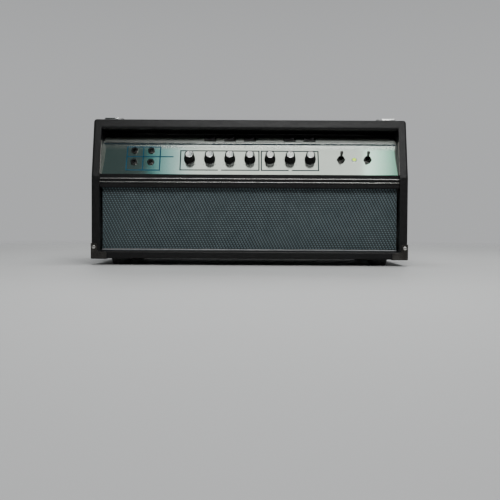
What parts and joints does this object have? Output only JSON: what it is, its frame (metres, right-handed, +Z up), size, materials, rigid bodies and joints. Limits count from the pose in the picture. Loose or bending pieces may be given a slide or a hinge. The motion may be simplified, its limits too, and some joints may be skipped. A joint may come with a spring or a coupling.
{
  "type": "guitar amplifier head",
  "caption": "Wide valve guitar amplifier head in a black covered cabinet, with a leaning metal control panel of knobs, jacks and switches above a woven grille.",
  "frame": {"origin": "centre of the object's footprint, on the surface that its feet stand on", "axes": "+X to the right seen from the front, +Y from the front to the rear, +Z up"},
  "size_m": [0.6164, 0.3364, 0.2995],
  "materials": {
    "black_vinyl": "matte",
    "bare_wood": "matte",
    "grille_cloth": "matte",
    "piping": "satin",
    "bright_trim": "polished",
    "nickel": "satin",
    "plated_screws": "satin",
    "rubber": "matte",
    "strap": "satin",
    "panel_aluminium": "satin",
    "black_knob": "satin",
    "switch_plastic": "gloss",
    "plated_steel": "satin",
    "bright_nuts": "polished",
    "lamp_lens": "gloss",
    "chassis_steel": "satin",
    "transformer_paint": "satin",
    "valve_glass": "gloss",
    "valve_base": "satin",
    "socket_ceramic": "matte",
    "capacitor_can": "satin",
    "circuit_board": "satin",
    "small_components": "gloss",
    "black_plastic": "satin",
    "vent_steel": "satin"
  },
  "bodies": {
    "cabinet": {"side_panel_left": "black_vinyl", "side_panel_right": "black_vinyl", "top_panel": "black_vinyl", "bottom_panel": "black_vinyl", "front_rail": "black_vinyl", "trim_strips": "bright_trim", "grille_frame": "bare_wood", "grille_cloth": "grille_cloth", "grille_piping": "piping", "corner_guards": "nickel", "wood_screws": "plated_screws", "rubber_feet": "rubber", "handle_end_caps": "bright_nuts", "handle_straps": "strap", "control_panel": "panel_aluminium", "panel_cheeks": "panel_aluminium", "potentiometers": "plated_steel", "panel_nuts": "bright_nuts", "input_jacks": "plated_steel", "speaker_jacks": "plated_steel", "toggle_bodies": "plated_steel", "toggle_nuts": "bright_nuts", "pilot_bezel": "bright_nuts", "pilot_lens": "lamp_lens", "rocker_frames": "switch_plastic", "preamp_chassis": "chassis_steel", "preamp_board": "circuit_board", "board_components": "small_components", "power_chassis": "chassis_steel", "power_transformer": "transformer_paint", "output_transformer": "transformer_paint", "choke": "transformer_paint", "preamp_valves": "valve_glass", "power_valve_bulbs": "valve_glass", "power_valve_bases": "valve_base", "valve_sockets": "socket_ceramic", "filter_capacitors": "capacitor_can", "fan_frame": "black_plastic", "rear_vent": "vent_steel", "vent_battens": "bare_wood", "mains_inlet": "black_plastic", "fuse_holder": "black_plastic", "selector_switch": "plated_steel", "machine_screws": "plated_screws"},
    "knob_1": {"knob_1": "black_knob"},
    "knob_2": {"knob_2": "black_knob"},
    "knob_3": {"knob_3": "black_knob"},
    "knob_4": {"knob_4": "black_knob"},
    "knob_5": {"knob_5": "black_knob"},
    "knob_6": {"knob_6": "black_knob"},
    "knob_7": {"knob_7": "black_knob"},
    "rocker_paddle_1": {"rocker_paddle_1": "switch_plastic"},
    "rocker_paddle_2": {"rocker_paddle_2": "switch_plastic"},
    "rocker_paddle_3": {"rocker_paddle_3": "switch_plastic"},
    "rocker_paddle_4": {"rocker_paddle_4": "switch_plastic"},
    "rocker_paddle_5": {"rocker_paddle_5": "switch_plastic"},
    "toggle_lever_1": {"toggle_lever_1": "bright_nuts"},
    "toggle_lever_2": {"toggle_lever_2": "bright_nuts"},
    "fan_impeller": {"fan_impeller": "black_plastic"},
    "selector_knob": {"selector_knob": "black_knob"}
  },
  "joints": [
    {"name": "knob_1_turn", "type": "hinge", "parent": "cabinet", "child": "knob_1", "pos_m": [-0.1179, -0.14496, 0.21166], "axis": [0, -0.866, 0.5], "range_deg": [-150, 150]},
    {"name": "knob_2_turn", "type": "hinge", "parent": "cabinet", "child": "knob_2", "pos_m": [-0.0786, -0.14496, 0.21166], "axis": [0, -0.866, 0.5], "range_deg": [-150, 150]},
    {"name": "knob_3_turn", "type": "hinge", "parent": "cabinet", "child": "knob_3", "pos_m": [-0.0393, -0.14496, 0.21166], "axis": [0, -0.866, 0.5], "range_deg": [-150, 150]},
    {"name": "knob_4_turn", "type": "hinge", "parent": "cabinet", "child": "knob_4", "pos_m": [0, -0.14496, 0.21166], "axis": [0, -0.866, 0.5], "range_deg": [-150, 150]},
    {"name": "knob_5_turn", "type": "hinge", "parent": "cabinet", "child": "knob_5", "pos_m": [0.0393, -0.14496, 0.21166], "axis": [0, -0.866, 0.5], "range_deg": [-150, 150]},
    {"name": "knob_6_turn", "type": "hinge", "parent": "cabinet", "child": "knob_6", "pos_m": [0.0786, -0.14496, 0.21166], "axis": [0, -0.866, 0.5], "range_deg": [-150, 150]},
    {"name": "knob_7_turn", "type": "hinge", "parent": "cabinet", "child": "knob_7", "pos_m": [0.1179, -0.14496, 0.21166], "axis": [0, -0.866, 0.5], "range_deg": [-150, 150]},
    {"name": "rocker_1_tilt", "type": "hinge", "parent": "cabinet", "child": "rocker_paddle_1", "pos_m": [-0.0786, -0.10625, 0.24617], "axis": [0, 0.891, 0.454], "range_deg": [0, 18]},
    {"name": "rocker_2_tilt", "type": "hinge", "parent": "cabinet", "child": "rocker_paddle_2", "pos_m": [-0.0393, -0.10625, 0.24617], "axis": [0, 0.891, 0.454], "range_deg": [0, 18]},
    {"name": "rocker_3_tilt", "type": "hinge", "parent": "cabinet", "child": "rocker_paddle_3", "pos_m": [0, -0.10625, 0.24617], "axis": [0, 0.891, 0.454], "range_deg": [0, 18]},
    {"name": "rocker_4_tilt", "type": "hinge", "parent": "cabinet", "child": "rocker_paddle_4", "pos_m": [0.0786, -0.10625, 0.24617], "axis": [0, 0.891, 0.454], "range_deg": [0, 18]},
    {"name": "rocker_5_tilt", "type": "hinge", "parent": "cabinet", "child": "rocker_paddle_5", "pos_m": [0.1179, -0.10625, 0.24617], "axis": [0, 0.891, 0.454], "range_deg": [0, 18]},
    {"name": "toggle_1_flip", "type": "hinge", "parent": "cabinet", "child": "toggle_lever_1", "pos_m": [0.178, -0.1363, 0.20666], "axis": [1, 0, 0], "range_deg": [0, 28]},
    {"name": "toggle_2_flip", "type": "hinge", "parent": "cabinet", "child": "toggle_lever_2", "pos_m": [0.23, -0.1363, 0.20666], "axis": [1, 0, 0], "range_deg": [0, 28]},
    {"name": "fan_spin", "type": "hinge", "parent": "cabinet", "child": "fan_impeller", "pos_m": [0, 0.1443, 0.175], "axis": [0, 1, 0], "continuous": true},
    {"name": "selector_turn", "type": "hinge", "parent": "cabinet", "child": "selector_knob", "pos_m": [0.075, 0.157, 0.055], "axis": [0, 1, 0], "range_deg": [0, 60]}
  ]
}
